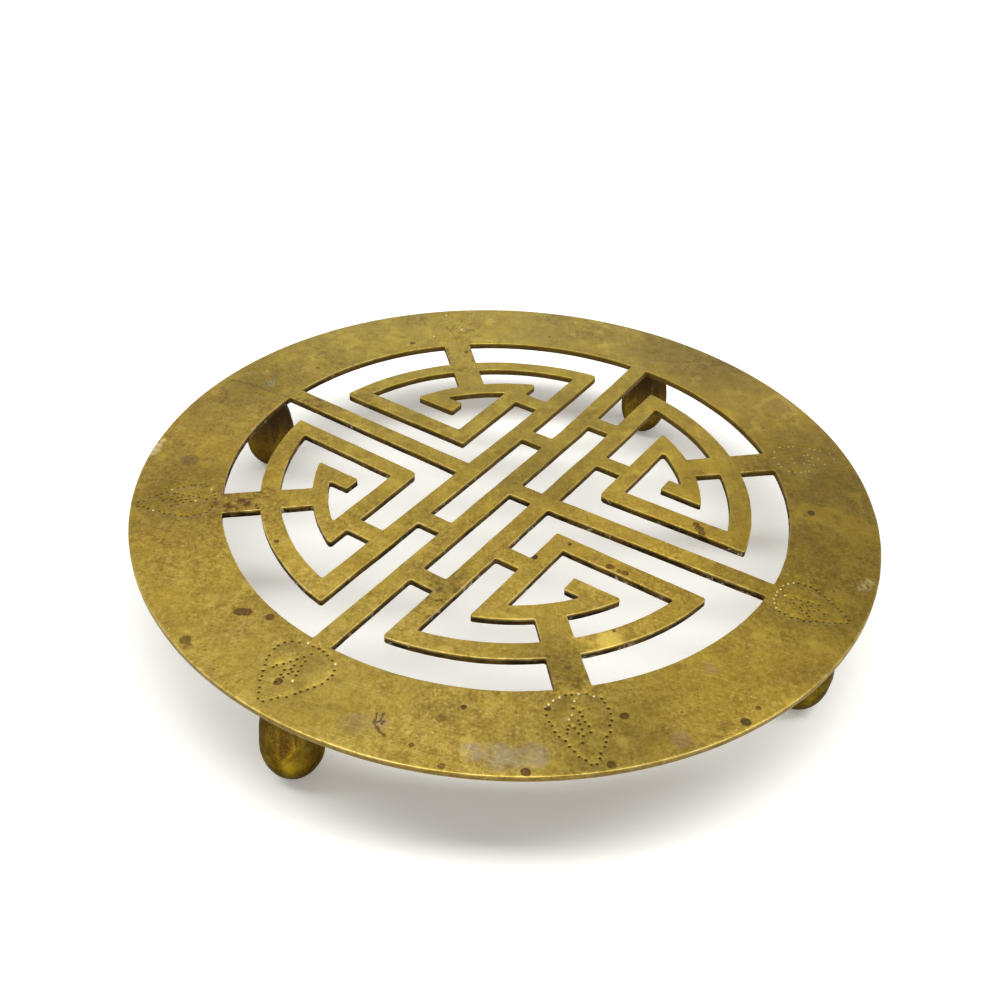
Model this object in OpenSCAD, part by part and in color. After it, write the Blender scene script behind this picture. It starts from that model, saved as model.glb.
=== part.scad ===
// Round trivet: one sawn and pierced brass plate on four cast bud feet.
// Each foot has a spigot through the rim of the plate, and solder holds it there.
// The origin is on the floor under the middle of the plate. X runs along the two
// cross bars of the fret, Y runs along its three upright bars, and Z is up.

/* [Plate] */
// Diameter of the plate
plate_d = 180; // [150:1:220]
// Thickness of the plate
plate_t = 1.8; // [1.2:0.1:3]
// Width of the solid rim round the fret
rim_w = 21.1; // [18:0.1:26]

/* [Fret] */
// Width of the sawn strips
strip_w = 4.7; // [3.6:0.1:5.6]
// Width of a diagonal tab where it leaves the rim
tab_rim_w = 7.8; // [5:0.1:9.5]
// Width of a diagonal tab at its inner end
tab_end_w = 6.8; // [4.5:0.1:8]

/* [Feet] */
// Distance from the edge of the plate to the axis of a foot
foot_inset = 9.5; // [8:0.1:12]
// Height of a foot from the floor to its shoulder under the plate
foot_h = 25.8; // [20:0.1:36]
// Diameter of a foot at its widest
belly_d = 13.5; // [11:0.1:16]
// Depth of the widest place below the shoulder
belly_drop = 14.4; // [11:0.1:17]
// Diameter of the neck
neck_d = 8.2; // [7:0.1:10]
// Height of the neck
neck_h = 2.6; // [1.5:0.1:4]
// Diameter of the flat worn on the bottom
wear_d = 2.6; // [1.5:0.1:4]
// Thickness of the sepals on the bud
sepal_t = 0.5; // [0.3:0.05:0.9]

/* [Fixing] */
// Diameter of the spigot on a foot
spigot_d = 4; // [3:0.1:5]
// Gap round the spigot, filled with solder
solder_gap = 0.15; // [0.08:0.01:0.4]
// Thickness of the solder film on the shoulder
film_t = 0.1; // [0.06:0.01:0.3]
// Height and reach of the solder fillet round the neck
fillet_s = 1.1; // [0.6:0.05:1.8]

/* [Hidden] */
$fn = 96;
overrun = 1;
plate_r = plate_d / 2;
opening_r = plate_r - rim_w;
foot_ring_r = plate_r - foot_inset;
floor_to_plate = foot_h + film_t;
half_turn = 180;
quarter_turn = 90;

// Where each foot stands, as a turn from +X. The back one was set a degree off.
front_turn = 270;
back_turn = 91;
left_turn = 180;
right_turn = 0;

// The fret is laid out in shares of the opening's radius, as measured along X and Y.
// A bar is a list of the places that its middle line goes through.
spine_shares = [[0.010, 1], [0.021, 0.42], [-0.010, -1]];
left_bar_shares = [[-0.134, 1], [-0.1365, 0.39], [-0.169, -1]];
right_bar_shares = [[0.178, 1], [0.1765, 0.39], [0.150, -1]];
left_cross_shares = [[-1, -0.004], [-0.15, -0.020]];
right_cross_shares = [[0.01, -0.0185], [0.16, -0.0165], [1, 0.0165]];
right_cross_w_share = 1.04;
// Ties between two bars: the two ends along X, and the height
spine_tie_shares = [
    [-0.14, 0.015, 0.2985],
    [-0.15, 0, -0.3396],
    [0.015, 0.1765, 0.5275],
    [0, 0.16, -0.5845]
];

bronze = [0.62, 0.51, 0.24];
cast_brass = [0.52, 0.42, 0.2];
solder_grey = [0.56, 0.57, 0.55];

// Depths at which the outline of a foot is worked out
bud_steps = 9;
// The reach of the rounded bottom, if it went on to a point past the worn flat
tip_reach = (foot_h - belly_drop) / sqrt(1 - pow(wear_d / belly_d, 2));
// Sepals round a foot, and how far down it they part and end
sepal_count = 5;
sepal_part_share = 0.40;
sepal_end_share = 0.70;
sepal_bow_share = 0.62;
neck_r = neck_d / 2;

function place(shares) = shares * opening_r;

// Upright bar, its width measured along X
module upright(middle_shares, w) {
    last = len(middle_shares) - 1;
    side = [w / 2, 0];
    polygon(concat(
        [for (k = [0:last]) place(middle_shares[k]) - side],
        [for (k = [last:-1:0]) place(middle_shares[k]) + side]
    ));
}

// Bar that lies across, its width measured along Y
module cross_bar(middle_shares, w) {
    last = len(middle_shares) - 1;
    side = [0, w / 2];
    polygon(concat(
        [for (k = [0:last]) place(middle_shares[k]) - side],
        [for (k = [last:-1:0]) place(middle_shares[k]) + side]
    ));
}

module ring(mid_r, w) {
    difference() {
        circle(r = mid_r + w / 2);
        circle(r = mid_r - w / 2);
    }
}

// Mirrors a first-quadrant drawing into the quadrant named by the signs of its X and Y
module into_quadrant(signs) {
    mirror([signs[0] < 0 ? 1 : 0, 0])
        mirror([0, signs[1] < 0 ? 1 : 0])
            children();
}

// Disc whose middle is moved across the diagonal of the first quadrant
module leaning_disc(r, lean_share) {
    translate(place([-lean_share, lean_share])) circle(r = r);
}

// One of the four key-shaped meanders. All its places are drawn in the first quadrant.
// The outer arc runs from the side bar to the sill. The sill runs in to the post, the
// post runs up to the inner arc, and past the tab the inner arc curls back to the toe.
// The lean shares move the outer and the inner edge of the inner arc.
module key(signs, side_shares, side_share, tie_share, tab_a,
           arc_share, arc_w_share, arc_shift_shares,
           core_share, core_w_share, core_lean_shares,
           post_shares, post_w_share, sill_shares, sill_w_share, toe_shares) {
    arc_r = place(arc_share);
    arc_w = arc_w_share * strip_w;
    core_out_r = place(core_share) + core_w_share * strip_w / 2;
    core_in_r = place(core_share) - core_w_share * strip_w / 2;
    half_post_w = post_w_share * strip_w / 2;
    half_sill_w = sill_w_share * strip_w / 2;
    side_x = place(side_share);
    post_x = place(post_shares[0]);
    post_top_x = place(post_shares[1]);
    sill_y = place(sill_shares[0]);
    sill_end_y = place(sill_shares[1]);
    toe_x = place(toe_shares[0]);
    toe_y = place(toe_shares[1]);
    // Half of the side bar, up to the outer arc
    intersection() {
        upright(side_shares, strip_w);
        into_quadrant(signs) {
            intersection() {
                translate(place(arc_shift_shares)) circle(r = arc_r + arc_w / 2);
                translate([-opening_r, 0]) square([2 * opening_r, opening_r]);
            }
        }
    }
    into_quadrant(signs) {
        // Outer arc
        intersection() {
            translate(place(arc_shift_shares)) ring(arc_r, arc_w);
            translate([side_x, sill_end_y]) square(opening_r);
        }
        // Sill
        intersection() {
            translate(place(arc_shift_shares)) circle(r = arc_r + arc_w / 2);
            polygon([
                [post_x - half_post_w, sill_y - half_sill_w],
                [opening_r, sill_end_y - half_sill_w],
                [opening_r, sill_end_y + half_sill_w],
                [post_x - half_post_w, sill_y + half_sill_w]
            ]);
        }
        // Post
        intersection() {
            leaning_disc(core_out_r, core_lean_shares[0]);
            polygon([
                [post_x - half_post_w, sill_y],
                [post_x + half_post_w, sill_y],
                [post_top_x + half_post_w, core_out_r],
                [post_top_x - half_post_w, core_out_r]
            ]);
        }
        // Inner arc and toe
        intersection() {
            leaning_disc(core_out_r, core_lean_shares[0]);
            union() {
                difference() {
                    translate([post_top_x, toe_y]) square(opening_r);
                    leaning_disc(core_in_r, core_lean_shares[1]);
                }
                translate([toe_x, toe_y]) square([opening_r - toe_x, strip_w]);
            }
        }
        // Tie from the side bar to the post
        translate([side_x, place(tie_share) - strip_w / 2])
            square([post_x - side_x, strip_w]);
        // Tab
        rotate(tab_a) polygon([
            [core_in_r, -tab_end_w / 2],
            [opening_r + rim_w / 2, -tab_rim_w / 2],
            [opening_r + rim_w / 2, tab_rim_w / 2],
            [core_in_r, tab_end_w / 2]
        ]);
    }
}

module upper_left_key() key(
    signs = [-1, 1], side_shares = left_bar_shares, side_share = 0.136,
    tie_share = 0.507, tab_a = 44.4,
    arc_share = 0.812, arc_w_share = 0.9, arc_shift_shares = [0, 0],
    core_share = 0.637, core_w_share = 0.944, core_lean_shares = [0.026, 0],
    post_shares = [0.302, 0.302], post_w_share = 1,
    sill_shares = [0.140, 0.147], sill_w_share = 1, toe_shares = [0.430, 0.265]
);

module upper_right_key() key(
    signs = [1, 1], side_shares = right_bar_shares, side_share = 0.177,
    tie_share = 0.317, tab_a = 43.9,
    arc_share = 0.827, arc_w_share = 1.1, arc_shift_shares = [0.006, -0.006],
    core_share = 0.661, core_w_share = 0.923, core_lean_shares = [0, -0.006],
    post_shares = [0.336, 0.345], post_w_share = 0.9,
    sill_shares = [0.162, 0.185], sill_w_share = 1.06, toe_shares = [0.466, 0.293]
);

module lower_left_key() key(
    signs = [-1, -1], side_shares = left_bar_shares, side_share = 0.162,
    tie_share = 0.509, tab_a = 43.2,
    arc_share = 0.837, arc_w_share = 1, arc_shift_shares = [0, 0],
    core_share = 0.666, core_w_share = 0.787, core_lean_shares = [0.009, 0.026],
    post_shares = [0.3246, 0.3246], post_w_share = 1,
    sill_shares = [0.180, 0.163], sill_w_share = 0.98, toe_shares = [0.4376, 0.300]
);

module lower_right_key() key(
    signs = [1, -1], side_shares = right_bar_shares, side_share = 0.156,
    tie_share = 0.336, tab_a = 45.9,
    arc_share = 0.837, arc_w_share = 1, arc_shift_shares = [-0.010, 0.012],
    core_share = 0.673, core_w_share = 0.931, core_lean_shares = [0.005, 0.010],
    post_shares = [0.325, 0.311], post_w_share = 0.96,
    sill_shares = [0.173, 0.176], sill_w_share = 0.98, toe_shares = [0.4545, 0.303]
);

module fret() {
    intersection() {
        circle(r = opening_r + rim_w / 2);
        union() {
            upright(spine_shares, strip_w);
            cross_bar(left_cross_shares, strip_w);
            cross_bar(right_cross_shares, strip_w * right_cross_w_share);
        }
    }
    for (tie = spine_tie_shares)
        translate([place(tie[0]), place(tie[2]) - strip_w / 2])
            square([place(tie[1] - tie[0]), strip_w]);
    upper_left_key();
    upper_right_key();
    lower_left_key();
    lower_right_key();
}

module at_foot(turn) {
    rotate(turn) translate([foot_ring_r, 0, 0]) children();
}

module pierced_plate() {
    color(bronze)
    translate([0, 0, floor_to_plate])
    difference() {
        linear_extrude(plate_t) {
            difference() {
                circle(r = plate_r, $fn = 256);
                circle(r = opening_r, $fn = 256);
            }
            fret();
        }
        for (turn = [front_turn, back_turn, left_turn, right_turn])
            at_foot(turn)
                translate([0, 0, -overrun])
                    cylinder(d = spigot_d + 2 * solder_gap, h = plate_t + 2 * overrun);
    }
}

// Radius of a foot's outline at a depth below its shoulder
function bud_r(depth) =
    depth < belly_drop
        ? neck_r + (belly_d / 2 - neck_r) * sin(quarter_turn * (depth - neck_h) / (belly_drop - neck_h))
        : belly_d / 2 * sqrt(1 - pow((depth - belly_drop) / tip_reach, 2));

// Outline of the bud from its neck to the worn flat. It is drawn in by an inset, which
// fades out below the belly.
function bud_outline(inset) = concat(
    [for (k = [0:bud_steps - 1])
        let (depth = neck_h + (belly_drop - neck_h) * k / bud_steps)
        [bud_r(depth) - inset, -depth]],
    [for (k = [0:bud_steps])
        let (depth = belly_drop + (foot_h - belly_drop) * sin(quarter_turn * k / bud_steps))
        [bud_r(depth) - inset * (1 - k / bud_steps), -depth]]
);

// The bud and its neck as a turned solid, with the shoulder at height 0. The outline
// starts half way between a sepal's tip and the valley beside it.
module bud(inset) {
    rotate(half_turn / sepal_count / 2)
        rotate_extrude()
            polygon(concat(
                [[0, -inset], [neck_r - inset, -inset]],
                bud_outline(inset),
                [[0, -foot_h]]
            ));
}

// Sepals: a skin on the neck and the upper bud that parts into pointed leaves
module sepals() {
    part_depth = foot_h * sepal_part_share;
    end_depth = foot_h * sepal_end_share;
    bow_depth = (part_depth + end_depth) / 2;
    leaf_w = belly_d / 2 * tan(half_turn / sepal_count);
    intersection() {
        bud(0);
        for (k = [0:sepal_count - 1])
            rotate(k * 2 * half_turn / sepal_count)
            rotate([quarter_turn, 0, quarter_turn])
                linear_extrude(belly_d)
                    polygon([
                        [-leaf_w, overrun],
                        [-leaf_w, -part_depth],
                        [-leaf_w * sepal_bow_share, -bow_depth],
                        [0, -end_depth],
                        [leaf_w * sepal_bow_share, -bow_depth],
                        [leaf_w, -part_depth],
                        [leaf_w, overrun]
                    ]);
    }
}

module foot(turn) {
    color(cast_brass)
    at_foot(turn) translate([0, 0, foot_h]) {
        bud(sepal_t);
        sepals();
        translate([0, 0, -neck_h]) cylinder(d = spigot_d, h = neck_h + film_t + plate_t);
    }
}

// Solder: a film on the shoulder, a sleeve round the spigot and a fillet round the neck
module solder(turn) {
    spigot_r = spigot_d / 2;
    color(solder_grey)
    at_foot(turn) translate([0, 0, foot_h])
    rotate_extrude() {
        translate([spigot_r, 0]) square([neck_r + fillet_s - spigot_r, film_t]);
        translate([spigot_r, 0]) square([solder_gap, film_t + plate_t]);
        difference() {
            translate([neck_r, -fillet_s]) square([fillet_s, fillet_s]);
            translate([neck_r + fillet_s, -fillet_s]) circle(r = fillet_s);
        }
    }
}

module foot_front() foot(front_turn);
module foot_back() foot(back_turn);
module foot_left() foot(left_turn);
module foot_right() foot(right_turn);
module solder_front() solder(front_turn);
module solder_back() solder(back_turn);
module solder_left() solder(left_turn);
module solder_right() solder(right_turn);

pierced_plate();
foot_front();
foot_back();
foot_left();
foot_right();
solder_front();
solder_back();
solder_left();
solder_right();
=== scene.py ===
"""Looks of a round footed brass trivet: a sawn plate with punched leaves, on four cast buds.

Lengths are in millimetres until a mesh is made. R stands for the plate's radius, and the places of
stains and punched leaves are shares of R, in the plate's own plane, seen from above.
"""

import math
import random

import bmesh
import bpy
import numpy as np
from mathutils import Matrix, Vector, noise
from mathutils.geometry import delaunay_2d_cdt


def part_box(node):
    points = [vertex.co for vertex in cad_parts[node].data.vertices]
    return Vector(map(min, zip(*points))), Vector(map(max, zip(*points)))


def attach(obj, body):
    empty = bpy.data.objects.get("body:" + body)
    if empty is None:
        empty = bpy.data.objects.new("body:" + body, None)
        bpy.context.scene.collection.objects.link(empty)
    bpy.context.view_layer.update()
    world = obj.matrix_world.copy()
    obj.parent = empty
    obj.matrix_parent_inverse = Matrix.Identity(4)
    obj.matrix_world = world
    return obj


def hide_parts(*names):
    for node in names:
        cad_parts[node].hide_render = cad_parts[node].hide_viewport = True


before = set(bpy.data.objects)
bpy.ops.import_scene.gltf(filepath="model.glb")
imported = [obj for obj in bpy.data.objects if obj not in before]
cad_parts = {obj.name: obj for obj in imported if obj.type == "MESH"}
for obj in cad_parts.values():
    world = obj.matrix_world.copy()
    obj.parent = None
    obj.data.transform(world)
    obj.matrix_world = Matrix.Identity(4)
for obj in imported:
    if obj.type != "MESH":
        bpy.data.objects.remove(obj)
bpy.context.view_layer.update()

MM = 0.001
TURN = 2 * math.pi

PLATE_LOW, PLATE_HIGH = (np.array(corner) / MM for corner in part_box("pierced_plate"))
R = (PLATE_HIGH[0] - PLATE_LOW[0]) / 2
TOP = PLATE_HIGH[2]
UNDER = PLATE_LOW[2]
RADIUS = R * MM  # in metres, for the materials and the camera

# Each foot: how far its bud is turned in degrees, how brown it is, how much red shows through.
FEET = {
    "front": (21, 0.05, 0.9),
    "back": (5, 0.6, 0.8),
    "left": (-10, 0.8, 0.6),
    "right": (12, 0.1, 0.0),
}


# Small helpers.


def smooth(low, high, value):
    """0 below low, 1 above high, and a smooth step between."""
    share = np.clip((value - low) / (high - low), 0, 1)
    return share * share * (3 - 2 * share)


def hum(x, y, size, seed=0.0):
    """Soft noise from about -1 to 1, with features of that size in mm."""
    return noise.noise(Vector((x / size, y / size, seed)))


def turned(angle, across, out):
    """The plane point that lies out along a ray at that angle, and across to its right."""
    c, s = math.cos(angle), math.sin(angle)
    return np.array((out * c + across * s, out * s - across * c))


def ray(angle):
    """The unit vector at that angle in the plane."""
    return np.array((math.cos(angle), math.sin(angle)))


def unit(v):
    return v / max(np.linalg.norm(v), 1e-12)


def reaches(line):
    """How far along a broken line each of its points lies."""
    steps = np.linalg.norm(np.diff(line, axis=0), axis=1)
    return np.concatenate(((0,), np.cumsum(steps)))


def put(name, data):
    """Adds an object to the scene."""
    thing = bpy.data.objects.new(name, data)
    bpy.context.scene.collection.objects.link(thing)
    return thing


def stand(name, data, place, side, up, back):
    """Adds a lamp or a camera at that place. It looks away from the direction called back."""
    turn = Matrix((side, up, back)).transposed()
    put(name, data).matrix_world = Matrix.Translation(place) @ turn.to_4x4()


class Shape:
    """Vertices, faces and per-vertex values gathered for one mesh."""

    def __init__(self, values):
        self.points = []
        self.faces = []
        self.values = {name: [] for name in values}

    def add(self, point, **values):
        self.points.append(tuple(point))
        for name, kept in self.values.items():
            kept.append(values.get(name, 0.0))
        return len(self.points) - 1

    def strip(self, low, high):
        """Joins two closed rings of one length. Faces look outwards if high is above low."""
        count = len(low)
        for i in range(count):
            j = (i + 1) % count
            self.faces.append((low[i], low[j], high[j], high[i]))

    def build(self, name, material, crease):
        """Makes the mesh with its material. Edges sharper than crease, in degrees, stay sharp."""
        mesh = bpy.data.meshes.new(name)
        mesh.from_pydata([tuple(c * MM for c in p) for p in self.points], [], self.faces)
        for key, kept in self.values.items():
            layer = mesh.attributes.new(key, "FLOAT", "POINT")
            layer.data.foreach_set("value", np.array(kept, np.float32))
        mesh.validate()
        bm = bmesh.new()
        bm.from_mesh(mesh)
        bmesh.ops.recalc_face_normals(bm, faces=bm.faces)
        bm.to_mesh(mesh)
        bm.free()
        mesh.shade_smooth()
        mesh.set_sharp_from_angle(angle=math.radians(crease))
        mesh.materials.append(material)
        return put(name, mesh)


# Outlines of the sawn plate.


def top_outlines(node):
    """The closed outlines of a flat CAD plate's top face in mm, with the metal on their left."""
    bm = bmesh.new()
    bm.from_mesh(node.data)
    bmesh.ops.remove_doubles(bm, verts=bm.verts, dist=1e-6)
    level = max(v.co.z for v in bm.verts) - 1e-6
    flat = {f for f in bm.faces if min(v.co.z for v in f.verts) > level}
    follow = {}
    for face in flat:
        for loop in face.loops:
            if sum(f in flat for f in loop.edge.link_faces) == 1:
                follow[loop.vert.index] = loop.link_loop_next.vert.index
    place = {v.index: (v.co.x / MM, v.co.y / MM) for v in bm.verts}
    bm.free()
    outlines = []
    while follow:
        start = min(follow)
        chain, at = [], start
        while at in follow:
            chain.append(place[at])
            at = follow.pop(at)
        outlines.append(np.array(chain))
    return outlines


def without_crumbs(points, least=0.04):
    """Drops points that lie almost on the one before."""
    kept = [points[0]]
    for point in points[1:]:
        if np.linalg.norm(point - kept[-1]) > least:
            kept.append(point)
    return np.array(kept)


CORNER_TURN = math.radians(24)  # a sharper turn than this is a corner
ROUNDING_TURN = math.radians(14)
CORNER_RADIUS = (0.25, 0.6)
TOE_RADIUS = (0.45, 0.85)
STEP = 0.55
MOST_CUT = 0.42  # the share of a side that a corner's rounding may take
LONG_SIDE = 2.2  # a side this much longer than the next is straight

# Corners that the saw or the file left rounder than the rest: place in shares of R, radius in mm.
ROUND_CORNERS = (
    ((-0.10, 0.634), 2.0),
    ((-0.63, 0.09), 2.0),
    ((0.24, 0.10), 1.8),
    ((-0.22, -0.12), 1.8),
)


def corner_radius(point, turn, dice):
    for place, radius in ROUND_CORNERS:
        if np.linalg.norm(point - np.array(place) * R) < 0.035 * R:
            return radius
    return dice.uniform(*(TOE_RADIUS if turn > 0 else CORNER_RADIUS))


def corner_cuts(points, turn, length, corner, dice):
    """How far from each corner its rounding begins, in mm."""
    cut = np.zeros(len(points))
    for i in np.flatnonzero(corner):
        radius = corner_radius(points[i], turn[i], dice)
        reach = radius * math.tan(min(abs(turn[i]), 2.4) / 2)
        cut[i] = min(reach, MOST_CUT * length[i - 1], MOST_CUT * length[i])
    return cut


def leans(before, chord, length):
    """The directions in which a smooth curve passes the points."""
    lean = np.zeros_like(chord)
    for i in range(len(chord)):
        back, ahead = length[i - 1], length[i]
        if back > LONG_SIDE * ahead:
            lean[i] = before[i]
        elif ahead > LONG_SIDE * back:
            lean[i] = chord[i]
        else:
            lean[i] = unit(before[i] * ahead + chord[i] * back)
    return lean


def rounding(a, corner, b, turn):
    """Points on the arc that rounds a corner off, between its ends a and b."""
    bends = max(4, round(abs(turn) / ROUNDING_TURN))
    pull = math.cos(turn / 2)
    made = []
    for k in range(1, bends):
        u = k / bends
        parts = ((1 - u) ** 2, 2 * u * (1 - u) * pull, u * u)
        made.append((parts[0] * a + parts[1] * corner + parts[2] * b) / sum(parts))
    return made


def smooth_outline(points, dice):
    """Lays smooth curves through a many-sided outline and rounds its corners."""
    points = without_crumbs(points)
    after = np.roll(points, -1, 0) - points
    length = np.linalg.norm(after, axis=1)
    chord = after / length[:, None]
    before = np.roll(chord, 1, 0)
    turn = np.arctan2(
        before[:, 0] * chord[:, 1] - before[:, 1] * chord[:, 0], (before * chord).sum(1)
    )
    corner = np.abs(turn) > CORNER_TURN
    lean = leans(before, chord, length)
    cut = corner_cuts(points, turn, length, corner, dice)
    made = []
    for i, start in enumerate(points):
        j = (i + 1) % len(points)
        end, size, line = points[j], length[i], chord[i]
        t0, t1 = lean[i], lean[j]
        if corner[i] and corner[j]:
            t0 = t1 = line
        elif corner[i]:
            t0 = 2 * (t1 @ line) * line - t1
        elif corner[j]:
            t1 = 2 * (t0 @ line) * line - t0
        low, high = cut[i] / size, 1 - cut[j] / size
        pieces = max(1, math.ceil(size * (high - low) / STEP))
        for k in range(pieces + (1 if corner[j] else 0)):
            u = low + (high - low) * k / pieces
            h = (2 * u**3 - 3 * u**2 + 1, u**3 - 2 * u**2 + u, 3 * u**2 - 2 * u**3, u**3 - u**2)
            made.append(h[0] * start + h[1] * size * t0 + h[2] * end + h[3] * size * t1)
        if corner[j]:
            low = cut[j] / length[j]
            made += rounding(made[-1], end, end + (low * length[j]) * chord[j], turn[j])
    return without_crumbs(np.array(made))


def outward(points):
    """Unit vectors at a closed outline's points that point away from the metal."""
    along = np.roll(points, -1, 0) - np.roll(points, 1, 0)
    along /= np.linalg.norm(along, axis=1)[:, None]
    return np.stack((along[:, 1], -along[:, 0]), 1)


# How the saw wanders: how far and over what length, in mm, and a seed.
WANDER = ((0.13, 13, 3.7), (0.045, 2.6, 8.1))


def hand_sawn(points, is_rim):
    """Wanders a little off the line, as a hand-held saw does. The rim only wanders inwards."""
    shift = np.array(
        [sum(far * hum(x, y, size, seed) for far, size, seed in WANDER) for x, y in points]
    )
    if is_rim:
        shift = -0.6 * np.abs(shift)
    return points + outward(points) * shift[:, None]


def inside(outline, spots):
    """Which spots lie inside a closed outline."""
    result = np.zeros(len(spots), bool)
    low, high = outline.min(0), outline.max(0)
    near = np.flatnonzero(((spots > low) & (spots < high)).all(1))
    x0, y0 = outline.T
    x1, y1 = np.roll(outline, -1, 0).T
    for start in range(0, len(near), 2000):
        part = near[start : start + 2000]
        x, y = spots[part, 0][:, None], spots[part, 1][:, None]
        crosses = (y0 > y) != (y1 > y)
        with np.errstate(divide="ignore", invalid="ignore"):
            hit = crosses & (x < (x1 - x0) * (y - y0) / (y1 - y0) + x0)
        result[part] = hit.sum(1) % 2 == 1
    return result


# Punched leaves.

DOT_RADIUS = 0.35
DOT_DEPTH = 0.18
DOT_SIDES = 10
DOT_GAP = 2.15  # the least distance between two dots, in radii
JITTER = 0.0014  # how far a dot strays from its line, in shares of R
# Across a dot: share of its radius, share of its depth, and how dark it is there.
DOT_PROFILE = ((1.0, 0.0, 0.0), (0.9, 0.10, 0.75), (0.6, 0.60, 1.0), (0.3, 0.92, 1.0))
OUTLINE_DOTS = 33

# Half the leaf's outline: share of the way from base to tip, and share of the half width.
LEAF_SIDE = (
    (0.0, 0.0), (0.01, 0.3), (0.04, 0.58), (0.09, 0.82), (0.17, 0.97), (0.29, 1.0), (0.4, 0.97),
    (0.5, 0.87), (0.6, 0.73), (0.7, 0.59), (0.8, 0.42), (0.9, 0.21), (1.0, 0.03),
)

# Dots of the sprig inside: across in half widths, and share of the way from base to tip.
SPRIG = (
    (0.0, 0.11), (0.12, 0.2), (0.22, 0.27), (0.32, 0.34), (0.4, 0.41), (0.48, 0.47), (0.55, 0.52),
    (-0.05, 0.25), (-0.08, 0.31), (-0.12, 0.4), (-0.2, 0.475), (-0.25, 0.55), (0.1, 0.36),
    (0.08, 0.43), (-0.02, 0.45), (0.22, 0.475), (0.02, 0.505), (0.16, 0.55), (0.06, 0.58),
    (0.13, 0.66),
)

# The eight leaves: angle in degrees, sideways shift, base and tip in shares of R, half width,
# how deep they are struck, and the shares of pale dots at the base and on the rest.
LEAVES = (
    (270.0, 0.001, 0.7835, 0.978, 0.079, 1.0, 0.3, 0.03),
    (223.2, 0.021, 0.7835, 0.985, 0.066, 0.85, 0.2, 0.1),
    (180.0, 0.0, 0.785, 0.978, 0.07, 0.42, 0.0, 0.03),
    (135.6, 0.004, 0.785, 0.976, 0.07, 0.48, 0.0, 0.03),
    (90.0, 0.0, 0.785, 0.976, 0.07, 0.3, 0.0, 0.0),
    (43.9, 0.0, 0.785, 0.976, 0.064, 0.34, 0.6, 0.55),
    (0.0, -0.016, 0.7835, 0.969, 0.066, 0.78, 0.95, 0.08),
    (314.1, 0.008, 0.785, 0.985, 0.068, 0.95, 0.6, 0.08),
)


def leaf_dots(leaf, dice):
    """Places in mm, strengths and paleness of one leaf's dots; a pale dot is partly residue and
    partly a painted glint.
    """
    angle, shift, base, tip, half, strength, pale_low, pale_rest = leaf
    angle = math.radians(angle)
    side = np.array([(w * half, base + s * (tip - base)) for s, w in LEAF_SIDE])
    ring = np.concatenate((side[::-1] * (-1, 1), side[1:]))
    reach = reaches(ring)
    at = np.linspace(0, reach[-1], OUTLINE_DOTS + 1)[:-1] + reach[-1] / OUTLINE_DOTS / 2
    dots = [(np.interp(a, reach, ring[:, 0]), np.interp(a, reach, ring[:, 1])) for a in at]
    dots += [(across * half, base + share * (tip - base)) for across, share in SPRIG]
    made = []
    for across, out in dots:
        jitter = (dice.gauss(0, JITTER), dice.gauss(0, JITTER))
        place = turned(angle, (across + shift + jitter[0]) * R, (out + jitter[1]) * R)
        force = strength * dice.uniform(0.8, 1.15)
        low = out < base + 0.16 * (tip - base)
        pale = dice.random() < (pale_low if low else pale_rest)
        made.append((place, force, 1.0 if pale else 0.0))
    return made


def all_dots(dice):
    made = []
    for leaf in LEAVES:
        for place, force, pale in leaf_dots(leaf, dice):
            if all(np.linalg.norm(place - other[0]) > DOT_GAP * DOT_RADIUS for other in made):
                made.append((place, force, pale))
    return made


# The plate.

SPIGOT_RADIUS = 2.0
HOLE_RADIUS = 2.15
HOLE_SIDES = 48
SKIN = 0.42  # metal filed and burnished over the spigots' ends, so that no ring shows

# Edge profile from the underside up: inset and height above the underside or below the top.
FRET_FOOT = ((0.38, 0.0, 0.0), (0.13, 0.0, 0.4), (0.03, 0.05, 0.8), (0.0, 0.16, 1.0))
FRET_EDGE = (
    (0.0, 0.6, 0.9), (0.0, 0.24, 0.72), (0.035, 0.1, 0.55), (0.1, 0.035, 0.3), (0.21, 0.005, 0.0),
)
FRET_HOLD = 0.36
RIM_FOOT = ((0.85, 0.0, 0.0), (0.42, 0.09, 0.4), (0.14, 0.26, 0.8), (0.0, 0.50, 1.0))
RIM_EDGE = (
    (0.0, 0.5, 1.0), (0.0, 0.24, 0.8), (0.05, 0.11, 0.55), (0.14, 0.04, 0.25), (0.3, 0.006, 0.0),
)
RIM_HOLD = 0.60
SAG = 0.03
# Extra points in the flat faces: their pitch, and how near they come to an edge above and below.
GRID = 2.0
CLOSE, CLOSE_BELOW = 0.8, 1.5


def foot_centre(side):
    low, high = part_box("foot_" + side)
    return np.array(((low + high) / 2 / MM)[:2])


FOOT_PLACES = {side: foot_centre(side) for side in FEET}


def sag(x, y):
    """How far the worn top lies below its highest level."""
    return SAG * max(0.5 + 0.6 * hum(x, y, 34, 5.2), 0.0)


def worn_top(drop=0.0):
    """The level that lies so far below the worn top."""
    return lambda x, y: TOP - drop - sag(x, y)


def ring(shape, points, level, **values):
    """Adds vertices over the points, at their level."""
    return [shape.add((x, y, level(x, y)), **values) for x, y in points]


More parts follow.
